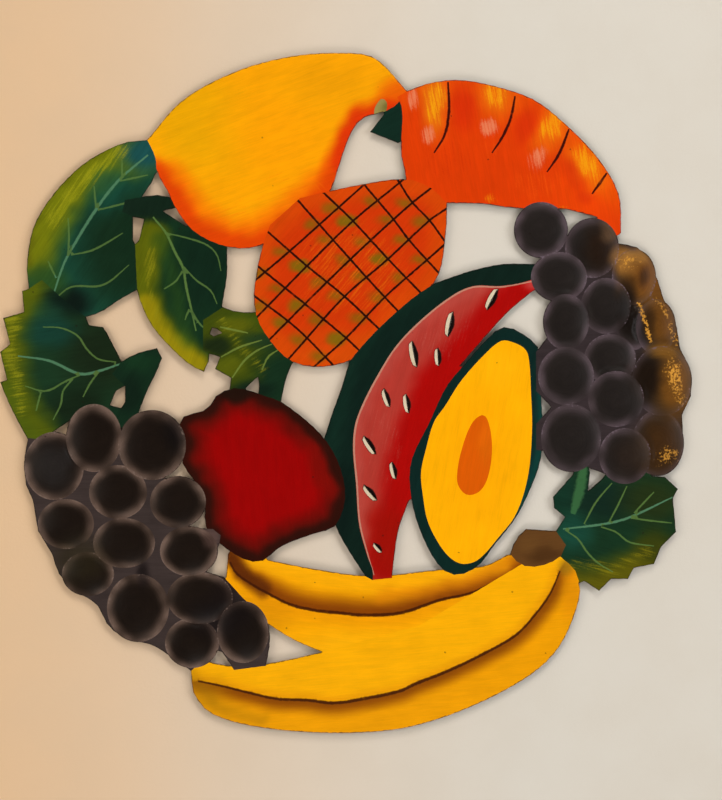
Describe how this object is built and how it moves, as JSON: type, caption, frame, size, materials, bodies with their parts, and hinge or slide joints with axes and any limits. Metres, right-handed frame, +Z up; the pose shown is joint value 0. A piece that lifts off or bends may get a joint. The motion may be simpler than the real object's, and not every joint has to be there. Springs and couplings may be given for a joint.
{
  "type": "wall plate",
  "caption": "Round openwork wall plate cut from one steel sheet, painted with tropical fruit, hammered grapes and veined leaves, with open gaps between them.",
  "frame": {"origin": "on the flat back of the plate, near the middle of the design, where it lies on the wall", "axes": "+Z up as it hangs, -Y out of the painted front, +Y into the wall, +X to the viewer's right"},
  "size_m": [0.58, 0.004, 0.5701],
  "materials": {
    "painted_steel": "semi-gloss hand-painted enamel in many colours over sheet steel"
  },
  "bodies": {
    "root": {"plate": "painted_steel"}
  },
  "joints": []
}
